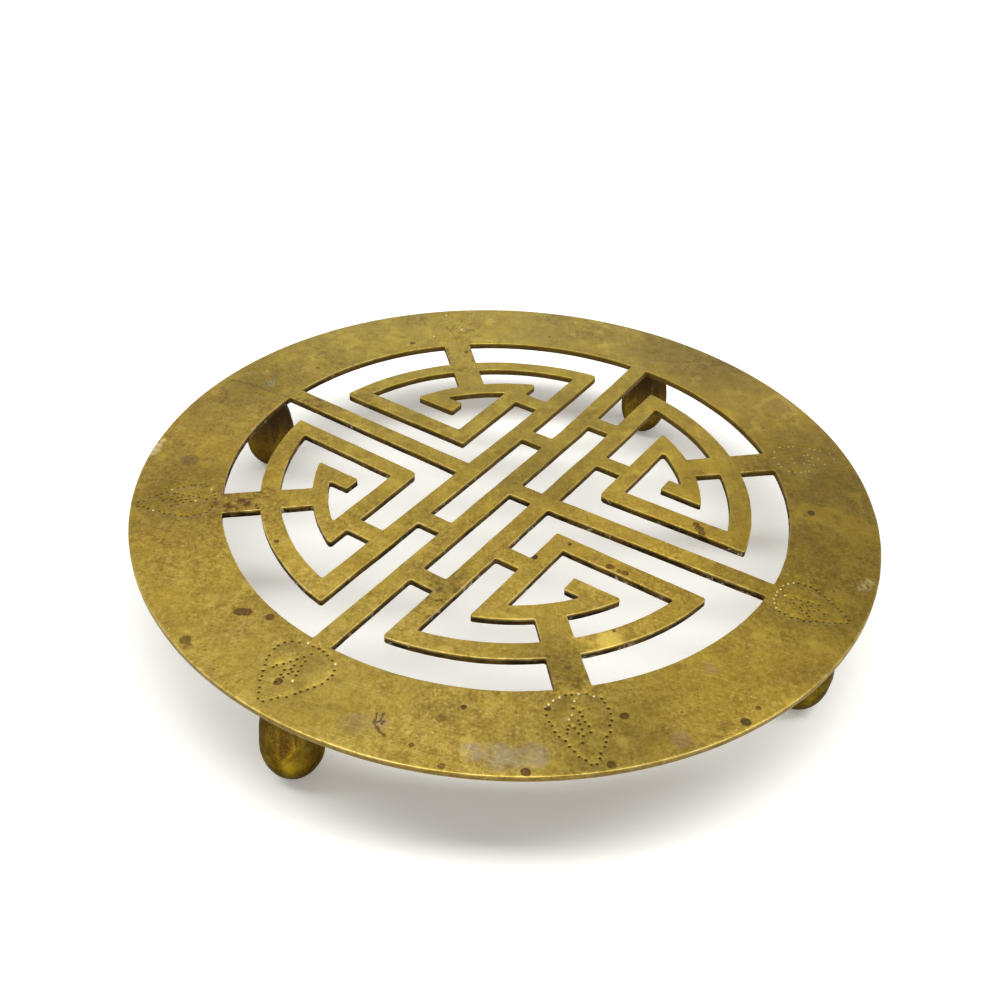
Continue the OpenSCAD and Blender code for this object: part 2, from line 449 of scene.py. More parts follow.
def plate_walls(shape, points, is_rim):
    """One opening's or the rim's wall with its worn edges. Returns the holding rings' vertices."""
    away = outward(points)
    foot, edge = (RIM_FOOT, RIM_EDGE) if is_rim else (FRET_FOOT, FRET_EDGE)
    hold = RIM_HOLD if is_rim else FRET_HOLD
    on_rim = float(is_rim)
    rings = []
    for inset, rise, wall in foot:
        spots = points - away * inset
        values = {"wall": wall, "under": 1 - wall, "rim": on_rim}
        rings.append(ring(shape, spots, lambda x, y, z=UNDER + rise: z, **values))
    middle = points - away * np.array([[0.03 + 0.03 * hum(x, y, 1.7, 2.2)] for x, y in points])
    rings.append(ring(shape, middle, lambda x, y: (UNDER + TOP) / 2, wall=1.0, rim=on_rim))
    for inset, drop, wall in edge:
        spots = points - away * inset
        worn = min(1.0, max(0.0, 1.25 - abs(2 * wall - (0.9 if is_rim else 1))))
        rings.append(ring(shape, spots, worn_top(drop), wall=wall, worn=worn, rim=on_rim))
    for low, high in zip(rings, rings[1:]):
        shape.strip(low, high)
    held = ring(shape, points - away * hold, worn_top())
    shape.strip(rings[-1], held)
    return rings[0], held


def dimple(shape, place, force, pale):
    """A punched dot. Returns its rim, which joins the plate's top."""
    radius, depth = DOT_RADIUS * (0.70 + 0.30 * force - 0.12 * pale), DOT_DEPTH * force
    rings = []
    for share, fall, dark in DOT_PROFILE:
        spots = [place + share * radius * ray(TURN * k / DOT_SIDES) for k in range(DOT_SIDES)]
        values = {"dent": dark * min(force, 1.0), "polish": pale * dark}
        rings.append(ring(shape, spots, worn_top(fall * depth), **values))
    for outer, inner in zip(rings, rings[1:]):
        shape.strip(outer, inner)
    tip = shape.add((*place, worn_top(depth)(*place)), dent=min(force, 1.0), polish=pale)
    for i in range(DOT_SIDES):
        shape.faces.append((rings[-1][i], rings[-1][(i + 1) % DOT_SIDES], tip))
    return rings[0]


def in_metal(outlines, spots):
    """Which spots lie in the metal that the outlines bound."""
    metal = np.zeros(len(spots), bool)
    for outline in outlines:
        metal ^= inside(outline, spots)
    return metal


def net_inside(outlines, edge, clear):
    """The points of a plain net that lie in the metal, clear of its edge points."""
    reach = np.arange(-R, R + GRID, GRID)
    net = np.array(
        [(x + (0.5 * GRID if n % 2 else 0), y) for n, y in enumerate(reach) for x in reach]
    )
    net = net[in_metal(outlines, net)]
    near = np.zeros(len(net), bool)
    for start in range(0, len(edge), 500):
        part = edge[start : start + 500]
        near |= ((net[:, None, :] - part[None]) ** 2).sum(2).min(1) < clear**2
    return net[~near]


def fill(shape, closed, outlines, level, clear, **values):
    """Fills the metal between closed rings of vertices, with extra points inside it."""
    flat = [np.array([shape.points[i][:2] for i in chain]) for chain in closed]
    net = net_inside(outlines, np.concatenate(flat), clear)
    extra = [shape.add((x, y, level(x, y)), **values) for x, y in net]
    order = [i for chain in closed for i in chain] + extra
    spots = [Vector(shape.points[i][:2]) for i in order]
    edges, start = [], 0
    for chain in closed:
        count = len(chain)
        edges += [(start + k, start + (k + 1) % count) for k in range(count)]
        start += count
    verts, _, faces, origins, _, _ = delaunay_2d_cdt(spots, edges, [], 0, 1e-7)
    kept = [order[source[0]] for source in origins]
    centres = np.array([np.mean([verts[i] for i in face], axis=0) for face in faces])
    for face, is_metal in zip(faces, in_metal(flat, centres)):
        if is_metal:
            shape.faces.append(tuple(kept[i] for i in face))


def blind_hole(shape, raw):
    """The hole for a spigot, closed just under the top. Returns its lower ring."""
    centre = (raw.max(0) + raw.min(0)) / 2
    hole = [centre + HOLE_RADIUS * ray(-TURN * k / HOLE_SIDES) for k in range(HOLE_SIDES)]
    low = ring(shape, hole, lambda x, y: UNDER, under=1.0)
    high = ring(shape, hole, lambda x, y: TOP - SKIN)
    shape.strip(low, high)
    shape.faces.append(tuple(high))
    return low


def make_plate(material):
    dice = random.Random(41)
    shape = Shape(("wall", "worn", "rim", "dent", "polish", "under"))
    tops, bottoms, bores, outlines = [], [], [], []
    for raw in top_outlines(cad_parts["pierced_plate"]):
        is_rim = np.linalg.norm(raw, axis=1).min() > 0.99 * R
        if np.ptp(raw, axis=0).max() < 2.6 * HOLE_RADIUS:
            bores.append(blind_hole(shape, raw))
        else:
            points = hand_sawn(smooth_outline(raw, dice), is_rim)
            low, high = plate_walls(shape, points, is_rim)
            outlines.append(points)
            bottoms.append(low)
            tops.append(high)
    dots = [dimple(shape, *dot) for dot in all_dots(random.Random(7))]
    fill(shape, tops + dots, outlines, worn_top(), CLOSE)
    fill(shape, bottoms + bores, outlines, lambda x, y: UNDER, CLOSE_BELOW, under=1.0)
    piece = shape.build("brass_plate", material, crease=55)
    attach(piece, "root")
    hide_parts("pierced_plate")


# The cast feet.

# The bud's outline: height above the table and radius, in mm.
BUD = (
    (0.0, 1.2), (0.1, 1.8), (0.35, 2.55), (0.8, 3.25), (1.4, 3.95), (2.2, 4.65), (3.2, 5.32),
    (4.4, 5.94), (5.8, 6.38), (7.4, 6.66), (9.2, 6.74), (11.2, 6.68), (13.2, 6.52), (15.2, 6.24),
    (17.2, 5.82), (19.0, 5.26), (20.5, 4.68), (21.9, 4.26), (23.2, 4.0), (24.6, 3.98), (25.8, 4.1),
)
SEPALS = 5
SEPAL_FORCES = (1.0, 0.6, 0.9, 0.7, 0.15)  # how sharply each is cut, counted round the bud
SEPAL_TOP = 23.0
SEPAL_FREE = 13.8
SEPAL_TIP = 9.0
RIB_TIP = 6.0
SEPAL_LIFT = 0.08
# Carving in mm: rib, fold and swollen belly stand up, the bowl and the seam are cut in.
RIB, FOLD, BOWL, SWELL, SEAM = 0.16, 0.16, 0.45, 0.30, 0.16
RIB_WIDTH, FOLD_WIDTH, SEAM_WIDTH = 0.50, 0.85, 0.30
ROUGHNESS = 0.05
COLUMNS = 180
ROWS = 120
NECK = 4.1
SOLDER_SIDES = 72
LUMPS = 0.30


def bud_profile():
    """The bud's outline again, evenly stepped and rounded off between its stations."""
    knots = np.array([(r, z) for z, r in BUD])
    for _ in range(3):
        a, b = knots[:-1], knots[1:]
        soft = np.empty((2 * len(a), 2))
        soft[0::2] = 0.75 * a + 0.25 * b
        soft[1::2] = 0.25 * a + 0.75 * b
        knots = np.concatenate((knots[:1], soft, knots[-1:]))
    reach = reaches(knots)
    at = np.linspace(0, reach[-1], ROWS)
    return np.interp(at, reach, knots[:, 0]), np.interp(at, reach, knots[:, 1])


def sepal_relief(height, angle, radius, sepals):
    """Height of the casting over the bare bud, its ridges and its hollows, all at one row."""
    pitch = TURN / SEPALS
    lift = np.zeros_like(angle)
    ridge = np.zeros_like(angle)
    hollow = np.zeros_like(angle)
    for turn, drop, force in sepals:
        across = ((angle - turn + math.pi) % TURN - math.pi) * radius
        full = pitch * radius / 2 - 0.06
        free = np.clip((SEPAL_FREE + drop - height) / (SEPAL_FREE - SEPAL_TIP), 0, 1)
        half = full * (1 - free) ** 0.80
        fade = force * smooth(SEPAL_TOP, SEPAL_TOP - 7, height)
        side = half - np.abs(across)
        ends = smooth(1.0, 0.8, free)
        blade = smooth(-0.5, 0.6, side) * ends
        keel_down = smooth(RIB_TIP + drop, RIB_TIP + 3.5 + drop, height)
        keel = np.exp(-((across / RIB_WIDTH) ** 2)) * keel_down * fade
        open_side = smooth(0.0, 1.0, across)
        edge = np.exp(-(((side - 0.45) / FOLD_WIDTH) ** 2)) * fade * ends * open_side
        depth = smooth(SEPAL_TIP - 0.5, SEPAL_TIP + 3.5, height)
        bowl = blade * (1 - edge) * (1 - keel) * fade * open_side * depth
        swell = np.exp(-(((across - 0.50 * full) / (0.42 * full)) ** 2)) * force
        swell *= smooth(3.0, 6.5, height) * smooth(SEPAL_FREE - 2, SEPAL_TIP - 0.5, height)
        seam = np.exp(-((side / SEAM_WIDTH) ** 2)) * fade * smooth(-1.0, 1.5, height - SEPAL_FREE)
        own = SEPAL_LIFT * blade * force + RIB * keel + FOLD * edge + SWELL * swell
        own -= BOWL * bowl + SEAM * seam
        lift = np.where(np.abs(own) > np.abs(lift), own, lift)
        shine = edge * smooth(17.5, 13.5, height)
        # The swollen belly counts as a ridge here, so it takes the ridges' brighter colour, which
        # on the belly is a painted highlight.
        ridge = np.maximum(ridge, np.maximum(np.maximum(shine, 0.5 * keel), swell))
        hollow = np.maximum(hollow, np.maximum(bowl, seam))
    return lift, ridge, hollow


def make_foot(side, material, number):
    dice = random.Random(100 + number)
    centre = FOOT_PLACES[side]
    facing = math.atan2(centre[1], centre[0])
    first, brown, red = FEET[side]
    sepals = []
    for force in SEPAL_FORCES:
        turn = math.radians(first) + TURN * len(sepals) / SEPALS + dice.uniform(-0.06, 0.06)
        sepals.append((turn, dice.uniform(-0.5, 0.5), force))
    shape = Shape(("ridge", "hollow", "height", "brown", "red"))
    stain = {"brown": brown, "red": red}
    radii, heights = bud_profile()
    angle = np.linspace(0, TURN, COLUMNS, endpoint=False)
    rows = []
    for radius, height in zip(radii, heights):
        lift, ridge, hollow = sepal_relief(height, angle, max(radius, 0.5), sepals)
        chain = []
        for a, up, r, h in zip(angle, lift, ridge, hollow):
            rough = hum(a * 6, height, 2.6, number + 0.5) + 0.5 * hum(a * 6, height, 1.1, number)
            reach = radius + up + ROUGHNESS * rough * smooth(0, 2, height)
            spot = (*(centre + reach * ray(a + facing)), height)
            chain.append(shape.add(spot, ridge=r, hollow=h, height=height / UNDER, **stain))
        rows.append(chain)
    shape.faces.append(tuple(reversed(rows[0])))
    for low, high in zip(rows, rows[1:]):
        shape.strip(low, high)
    finish_foot(shape, rows[-1], centre, angle + facing, side, material)


def finish_foot(shape, last, centre, angles, side, material):
    """Adds the shoulder and the spigot that goes up into the plate."""
    rings = []
    for height in (UNDER - 0.1, UNDER, TOP - SKIN - 0.02):
        spots = [centre + SPIGOT_RADIUS * ray(a) for a in angles]
        rings.append(ring(shape, spots, lambda x, y, z=height: z, height=1.0))
    for low, high in zip([last] + rings, rings):
        shape.strip(low, high)
    shape.faces.append(tuple(rings[-1]))
    piece = shape.build("bud_foot_" + side, material, crease=60)
    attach(piece, "root")
    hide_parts("foot_" + side)


def make_solder(side, material, number):
    """The solder under the plate: a lumpy fillet, a thin film and the sleeve round the spigot."""
    centre = FOOT_PLACES[side]
    low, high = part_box("solder_" + side)
    reach = (high[0] - low[0]) / 2 / MM
    profile = [
        (SPIGOT_RADIUS, TOP - SKIN - 0.03),
        (HOLE_RADIUS, TOP - SKIN - 0.03),
        (HOLE_RADIUS, UNDER),
        (reach - 0.05, UNDER),
    ]
    for k in range(1, 7):
        bend = math.radians(15 * k)
        profile.append(
            (reach - (reach - NECK) * math.sin(bend), UNDER - (reach - NECK) * (1 - math.cos(bend)))
        )
    profile += [(NECK - 0.1, UNDER - 0.4), (SPIGOT_RADIUS, UNDER - 0.1)]
    shape = Shape(())
    rings = []
    for n, (radius, height) in enumerate(profile):
        chain = []
        lumpy = 3 <= n < 10  # the fillet only
        for k in range(SOLDER_SIDES):
            a = TURN * k / SOLDER_SIDES
            lump = hum(math.cos(a) * 3, math.sin(a) * 3, 1.6, number * 3.1) if lumpy else 0.0
            r = radius + LUMPS * lump - (0.1 if lumpy else 0.0)
            z = height - (0.12 * abs(lump) if lumpy and n > 3 else 0.0)
            chain.append(shape.add((*(centre + r * ray(a)), z)))
        rings.append(chain)
    for a, b in zip(rings, rings[1:] + rings[:1]):
        shape.strip(b, a)
    piece = shape.build("solder_fillet_" + side, material, crease=60)
    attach(piece, "root")
    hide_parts("solder_" + side)


# Materials.

SCREEN_POWER = 2.2  # turns a change of brightness on screen into one of light


def tint(red, green, blue):
    """A colour as it looks on screen, 0 to 255, turned into the renderer's own numbers."""
    parts = [c / 255 for c in (red, green, blue)]
    return tuple(c / 12.92 if c < 0.04045 else ((c + 0.055) / 1.055) ** 2.4 for c in parts) + (1.0,)


class Paint:
    """A material in the making: each call adds nodes and returns what comes out of the last."""

    def __init__(self, name):
        self.material = bpy.data.materials.new(name)
        self.material.use_nodes = True
        self.tree = self.material.node_tree
        self.shader = self.tree.nodes["Principled BSDF"]
        self.place = self.node("TexCoord").outputs["Object"]

    def feed(self, node, given):
        """Links or sets a node's sockets, which are named or counted."""
        for key, value in dict(given).items():
            if isinstance(value, bpy.types.NodeSocket):
                self.tree.links.new(value, node.inputs[key])
            else:
                node.inputs[key].default_value = value

    def node(self, kind, given=(), **settings):
        made = self.tree.nodes.new("ShaderNode" + kind)
        for key, value in settings.items():
            setattr(made, key, value)
        self.feed(made, given)
        return made

    def math(self, operation, *values, clamp=False):
        made = self.node("Math", enumerate(values), operation=operation, use_clamp=clamp)
        return made.outputs[0]

    def vectors(self, operation, *values, out="Vector"):
        made = self.node("VectorMath", enumerate(values), operation=operation)
        return made.outputs[out]

    def scaled(self, vector, share):
        made = self.node("VectorMath", {0: vector, "Scale": share}, operation="SCALE")
        return made.outputs[0]

    def times(self, first, second):
        return self.math("MULTIPLY", first, second)

    def step(self, value, low, high, start=0.0, end=1.0):
        """A smooth step from start at low to end at high, flat beyond them."""
        given = enumerate((value, low, high, start, end))
        made = self.node("MapRange", given, interpolation_type="SMOOTHSTEP", clamp=False)
        return made.outputs[0]

    def mix(self, share, first, second, how="MIX"):
        given = {0: share, 6: first, 7: second}
        return self.node("Mix", given, data_type="RGBA", blend_type=how).outputs[2]

    def layers(self, colour, *layers):
        """Lays colours over the first in turn, each given by its mask, share and screen colour."""
        for mask, share, hue in layers:
            colour = self.mix(self.times(mask, share), colour, tint(*hue))
        return colour

    def vary(self, colour, field, spread, shares, light, dark, by=1.0):
        """Lightens a colour where a field runs over 0.5, and darkens it where it runs under."""
        for side, share, hue in zip((spread, -spread), shares, (light, dark)):
            mask = self.times(self.step(field, 0.5, 0.5 + side, 0.0, share), by)
            colour = self.mix(mask, colour, tint(*hue))
        return colour

    def attribute(self, name):
        return self.node("Attribute", attribute_name=name).outputs["Fac"]

    def flat(self, vector=None):
        """A place with its height left out, for marks laid out on the plate's top."""
        return self.vectors("MULTIPLY", vector or self.place, (1, 1, 0))

    def noise(self, size, detail=2.0, rough=0.5, vector=None, seed=0.0, bend=0.0, out=0):
        """Noise from 0 to 1 with features of that size in mm."""
        given = {"Vector": vector or self.place, "W": seed, "Scale": 1 / (size * MM)}
        given.update({"Detail": detail, "Roughness": rough, "Distortion": bend})
        return self.node("TexNoise", given, noise_dimensions="4D").outputs[out]

    def specks(self, pitch, size, share, seed):
        """Round specks of about that size in mm, in that share of the cells of a random net."""
        given = {"Vector": self.place, "W": seed, "Scale": 1 / (pitch * MM)}
        cells = self.node("TexVoronoi", given, voronoi_dimensions="4D")
        split = self.node("SeparateColor", {0: cells.outputs["Color"]})
        present = self.math("LESS_THAN", split.outputs[0], share)
        width = self.math("MULTIPLY_ADD", split.outputs[1], 0.7, 0.5)
        edge = self.times(width, size / pitch)
        near = self.math("SUBTRACT", edge, cells.outputs["Distance"])
        body = self.math("MULTIPLY", near, 2.2 * pitch / size, clamp=True)
        return self.times(body, present)

    def warp(self, size, amount, seed):
        """The object's place, shifted about by soft noise of up to that many mm."""
        soft = self.noise(size, detail=3.0, seed=seed, out="Color")
        centred = self.vectors("SUBTRACT", soft, (0.5, 0.5, 0.5))
        return self.vectors("ADD", self.place, self.scaled(centred, 2 * amount * MM))

    def spots(self, places, vector, soft=0.35):
        """One mask for many spots on the plate's top: (x, y, radius) in shares of R, strength."""
        total = None
        for x, y, radius, strength in places:
            outer = (1 + soft / 2) * radius * RADIUS
            inner = (1 - soft / 2) * radius * RADIUS
            body = self.step(self.gap(x, y, vector), outer, inner, 0.0, strength)
            total = body if total is None else self.math("MAXIMUM", total, body)
        return total

    def strokes(self, lines, width, vector):
        """A mask for broken lines drawn through points on the plate, all in shares of R."""
        places = []
        for line in lines:
            for (x0, y0), (x1, y1) in zip(line, line[1:]):
                for share in (0.0, 0.2, 0.4, 0.6, 0.8, 1.0):
                    place = (x0 + share * (x1 - x0), y0 + share * (y1 - y0))
                    places.append((*place, width * (0.7 + 0.6 * abs(share - 0.5)), 1.0))
        return self.spots(places, vector, soft=0.9)

    def gap(self, x, y, vector):
        """How far a place is from a point on the plate, given in shares of R."""
        return self.vectors("DISTANCE", vector, (x * RADIUS, y * RADIUS, 0), out="Value")

    def tones(self, places, vector):
        """Soft wide changes of brightness, added up: (x, y, reach) in shares of R, change."""
        total = 1.0
        for x, y, reach, change in places:
            fall = self.step(self.gap(x, y, vector), 0.0, reach * RADIUS, change, 0.0)
            total = self.math("ADD", fall, total)
        return self.math("POWER", total, SCREEN_POWER)

    def streaks(self, turn, length, width, detail=2.0, seed=0.0):
        """Noise from 0 to 1 drawn out along the direction at that turn: sizes in mm."""
        given = {
            "Vector": self.place,
            "Rotation": (0, 0, turn),
            "Scale": (length * MM, width * MM, MM),
        }
        drawn = self.node("Mapping", given, vector_type="TEXTURE").outputs[0]
        return self.noise(1 / MM, detail=detail, vector=drawn, seed=seed)

    def scratches(self, turn, width, length, share, seed):
        """Thin straight lines at that turn: width and length in mm, share of those shown."""
        lines = self.streaks(turn, length, width, detail=1.0, seed=seed)
        patch = self.noise(18.0, detail=1.0, seed=seed + 3)
        level = self.math("MULTIPLY_ADD", patch, -0.30, 0.84 - 0.1 * share)
        over = self.math("SUBTRACT", lines, level)
        return self.math("MULTIPLY", over, 12.0, clamp=True)

    def bump(self, height, distance, strength, normal=None):
        given = {"Height": height, "Distance": distance * MM, "Strength": strength}
        if normal is not None:
            given["Normal"] = normal
        return self.node("Bump", given).outputs[0]

    def finish(self, colour, roughness, normal, metallic=1.0):
        given = {"Base Color": colour, "Roughness": roughness, "Metallic": metallic}
        self.feed(self.shader, {**given, "Normal": normal})
        return self.material


# Soft wide changes of the top's brightness, partly patina and partly painted light and shade: x, y
# and reach in shares of R, then change.
TONES = (
    (0.98, 0.25, 0.75, -0.28), (0.66, 0.62, 0.34, -0.18), (0.68, -0.62, 0.3, -0.21),
    (0.0, -0.9, 0.34, -0.04), (0.2, 0.98, 0.42, -0.16), (-0.03, 0.93, 0.18, -0.08),
    (-0.5, 0.7, 0.45, 0.08), (-0.9, -0.02, 0.2, -0.13), (-0.86, -0.24, 0.2, -0.08),
    (-0.7, -0.57, 0.32, -0.14), (0.51, -0.38, 0.12, 0.18), (0.46, 0.02, 0.34, 0.13),
    (-0.3, -0.48, 0.25, 0.06), (0.02, 0.1, 0.26, -0.12), (0.45, -0.5, 0.13, -0.16),
    (0.1, -0.42, 0.12, -0.1), (-0.15, -0.62, 0.14, 0.12),
)

# Soft casts of colour: x, y and reach in shares of R, then what red, green and blue are scaled by.
# The bluer cast at the front is a painted sheen.
WARM_CAST = (1.0, 0.965, 0.97, 1.0)
CASTS = (
    (-0.7, 0.6, 1.3, (0.97, 1.045, 1.0, 1.0)),
    (0.25, -0.95, 0.9, (1.0, 1.05, 1.3, 1.0)),
    (0.75, 0.45, 0.9, (1.0, 0.99, 0.74, 1.0)),
    (-0.9, -0.3, 0.7, (1.0, 0.97, 0.85, 1.0)),
)

# Stains on the top: x, y and radius in shares of R, then strength.
BROWN_STAINS = (
    (-0.006, -0.911, 0.0105, 1.0), (0.346, -0.789, 0.012, 0.45), (0.338, -0.884, 0.006, 0.91),
    (0.57, -0.806, 0.011, 1.0), (0.421, -0.893, 0.008, 0.78), (0.705, -0.688, 0.01, 0.91),
    (-0.232, -0.801, 0.0115, 0.98), (-0.226, -0.798, 0.0125, 0.98), (-0.219, -0.793, 0.0125, 0.98),
    (-0.213, -0.789, 0.0115, 0.98), (-0.159, -0.771, 0.011, 0.91), (-0.262, -0.938, 0.014, 0.78),
    (-0.243, -0.949, 0.012, 0.65), (0.664, -0.556, 0.01, 1.0), (0.737, 0.37, 0.01, 1.0),
    (0.52, 0.128, 0.012, 1.0), (0.505, 0.14, 0.01, 1.0), (0.532, 0.116, 0.01, 1.0),
    (0.544, 0.104, 0.007, 0.9), (0.275, -0.128, 0.006, 1.0), (0.4, -0.145, 0.01, 1.0),
    (0.408, -0.142, 0.007, 0.9), (0.427, -0.146, 0.007, 0.8), (0.444, -0.144, 0.009, 0.9),
    (-0.335, -0.557, 0.007, 1.0), (-0.766, -0.437, 0.026, 0.39), (-0.81, 0.15, 0.006, 1.0),
    (-0.668, 0.455, 0.009, 1.0), (-0.496, 0.514, 0.006, 1.0),
)
DARK_STAINS = (
    (0.519, -0.635, 0.0062, 0.9), (0.368, -0.736, 0.007, 0.9), (0.52, -0.34, 0.005, 0.9),
    (0.228, -0.224, 0.009, 1.0), (0.887, -0.419, 0.012, 0.9), (0.893, -0.367, 0.007, 0.8),
    (-0.555, 0.485, 0.01, 0.7), (-0.33, 0.765, 0.006, 0.6),
)
# Places where brown dirt has settled in patches, and where the sheet is pitted.
DIRTY = (
    (-0.7, 0.0, 0.06, 1.0), (-0.5, -0.49, 0.08, 1.5), (-0.48, 0.46, 0.085, 0.9),
    (0.53, 0.5, 0.06, 0.5), (0.12, -0.5, 0.08, 1.2), (0.5, -0.53, 0.075, 0.9),
    (-0.58, 0.63, 0.075, 0.7), (-0.76, 0.6, 0.05, 0.8), (-0.4, 0.89, 0.05, 0.8),
    (-0.88, 0.23, 0.06, 0.6), (-0.56, 0.13, 0.06, 0.7), (-0.22, 0.87, 0.06, 0.6),
    (0.16, 0.9, 0.07, 0.6),
)
PITTED = (
    (0.128, -0.47, 0.045, 1.0), (0.13, -0.53, 0.045, 1.0), (0.5, -0.56, 0.06, 0.7),
    (-0.66, -0.25, 0.09, 0.9), (-0.5, -0.49, 0.07, 0.8), (-0.54, -0.73, 0.16, 0.5),
    (-0.64, 0.6, 0.09, 0.6),
)
# A dark smear like a crushed hair: points along its strokes, in shares of R.
STROKES = (
    ((0.227, -0.859), (0.237, -0.88), (0.252, -0.889), (0.261, -0.894), (0.276, -0.896)),
    ((0.239, -0.851), (0.246, -0.871), (0.24, -0.878)),
    ((0.252, -0.866), (0.254, -0.874)),
)
# Brown runs beside the left foot, and the pale ring that a wet glass left, in shares of R.
BROWN_RUNS = (
    ((-0.974, -0.065), (-0.926, -0.05), (-0.883, -0.043), (-0.835, -0.042), (-0.768, -0.032)),
    ((-0.958, -0.111), (-0.933, -0.12), (-0.913, -0.148), (-0.909, -0.173)),
)
PALE_RUNS = (
    ((0.408, 0.773), (0.413, 0.833), (0.436, 0.88), (0.492, 0.857), (0.518, 0.82), (0.5, 0.779)),
)
YELLOW_STAINS = (
    (0.527, -0.372, 0.03, 0.8), (0.693, -0.621, 0.013, 0.9), (0.626, -0.455, 0.007, 0.8),
    (0.918, -0.117, 0.022, 0.5),
)
SMEAR = (
    (0.735, 0.375, 0.04), (0.79, 0.385, 0.048), (0.85, 0.375, 0.055), (0.905, 0.385, 0.04),
)
PINK_STAINS = (
    (0.755, -0.32, 0.018, 0.5), (0.793, -0.544, 0.022, 0.6), (-0.766, -0.437, 0.02, 0.6),
    (0.464, 0.829, 0.045, 0.25), (0.248, -0.876, 0.02, 0.45), (0.21, -0.905, 0.03, 0.3),
)
GREY_STAINS = (
    (-0.867, 0.004, 0.017, 0.9), (-0.857, -0.01, 0.012, 0.8), (0.452, -0.826, 0.024, 0.45),
    (0.505, -0.803, 0.034, 0.55), (0.56, -0.76, 0.03, 0.55), (0.535, -0.792, 0.026, 0.5),
)
WHITE_STAINS = (
    (0.95, 0.15, 0.011, 0.8), (0.957, 0.168, 0.013, 0.9), (0.96, 0.19, 0.011, 0.8),
    (-0.868, -0.474, 0.009, 0.7), (-0.879, -0.456, 0.011, 0.8), (-0.888, -0.436, 0.011, 0.8),
    (-0.896, -0.416, 0.009, 0.7),
)

# Directions of the fine scratches: turn in radians, width and length in mm, share, seed.
SCRATCHES = (
    (0.3, 0.16, 16.0, 0.6, 11.0), (0.95, 0.14, 9.0, 0.4, 12.0), (1.55, 0.13, 12.0, 0.5, 13.0),
    (2.15, 0.17, 20.0, 0.6, 14.0), (2.8, 0.14, 9.0, 0.5, 15.0),
)


def marked(p, colour):
    """Lays the stains over the bare sheet."""
    wander = p.flat(p.warp(3.0, 0.9, 4.0))
    near = p.flat(p.warp(1.2, 0.25, 4.5))
    smear = p.spots([(*spot, 1.0) for spot in SMEAR], wander, soft=0.12)
    smear_line = p.times(p.step(smear, 0.05, 0.4), p.step(smear, 0.95, 0.6))
    grey = p.step(p.noise(2.5, detail=3.0, seed=4.8), 0.30, 0.55, 0.3, 1.0)
    grey = p.times(p.spots(GREY_STAINS, wander, soft=0.9), grey)
    white = p.step(p.noise(1.0, seed=4.9), 0.35, 0.55)
    white = p.times(p.spots(WHITE_STAINS, wander, soft=1.2), white)
    cores = [(x, y, 0.6 * r, s) for x, y, r, s in BROWN_STAINS]
    pits = p.times(p.specks(1.1, 0.30, 0.75, seed=4.2), p.spots(PITTED, wander, soft=1.2))
    hair = p.flat(p.warp(0.9, 0.4, 4.6))
    return p.layers(
        colour,
        (p.spots(YELLOW_STAINS, wander, soft=0.9), 0.6, (206, 182, 84)),
        (smear, 0.38, (196, 166, 58)),
        (smear_line, 0.35, (112, 88, 34)),
        (p.spots(PINK_STAINS, wander, soft=0.8), 0.8, (150, 122, 90)),
        (grey, 0.8, (160, 150, 124)),
        (white, 0.8, (236, 218, 170)),
        (p.spots(BROWN_STAINS, near, soft=0.25), 0.88, (76, 50, 20)),
        (p.spots(cores, near, soft=0.8), 0.35, (120, 90, 44)),
        (pits, 0.8, (70, 50, 22)),
        (p.strokes(BROWN_RUNS, 0.0065, wander), 0.42, (98, 72, 28)),
        (p.strokes(PALE_RUNS, 0.0110, wander), 0.30, (204, 180, 96)),
        (p.strokes(STROKES, 0.0036, hair), 0.75, (66, 50, 34)),
        (p.spots(DARK_STAINS, near, soft=0.25), 0.9, (44, 36, 20)),
    )


def bare_sheet(p, clouds, mottle, grain, front_wear_and_light):
    """Mottled and handled sheet, before any stain."""
    smudge = p.noise(9.0, detail=3.0, rough=0.55, seed=1.5, bend=0.6)
    brushed = p.streaks(2.2, 7.0, 0.45, seed=2.5)
    crossed = p.streaks(0.7, 4.5, 0.32, seed=2.7)
    flecks = p.noise(1.6, detail=3.0, rough=0.7, seed=2.3, bend=0.5)
    busy = p.step(p.noise(17.0, seed=2.8), 0.38, 0.60, 0.30, 1.15)
    handled = p.step(p.noise(12.0, seed=2.9), 0.40, 0.60, 0.25, 1.0)
    sharp = p.times(front_wear_and_light, p.math("MULTIPLY_ADD", busy, 0.5, 0.5))
    colour = p.mix(p.step(clouds, 0.34, 0.66), tint(149, 125, 44), tint(161, 136, 50))
    colour = p.vary(colour, smudge, 0.18, (0.65, 0.65), (176, 151, 56), (134, 110, 44))
    colour = p.vary(colour, mottle, 0.25, (0.50, 0.55), (182, 158, 64), (128, 103, 38), busy)
    for field, share in ((brushed, 0.32), (crossed, 0.14)):
        colour = p.vary(colour, field, 0.28, 2 * (share,), (188, 164, 78), (122, 100, 36), handled)
    for field, share in ((flecks, 0.30), (grain, 0.62)):
        colour = p.vary(colour, field, 0.24, 2 * (share,), (198, 172, 88), (104, 82, 26), sharp)
    return colour


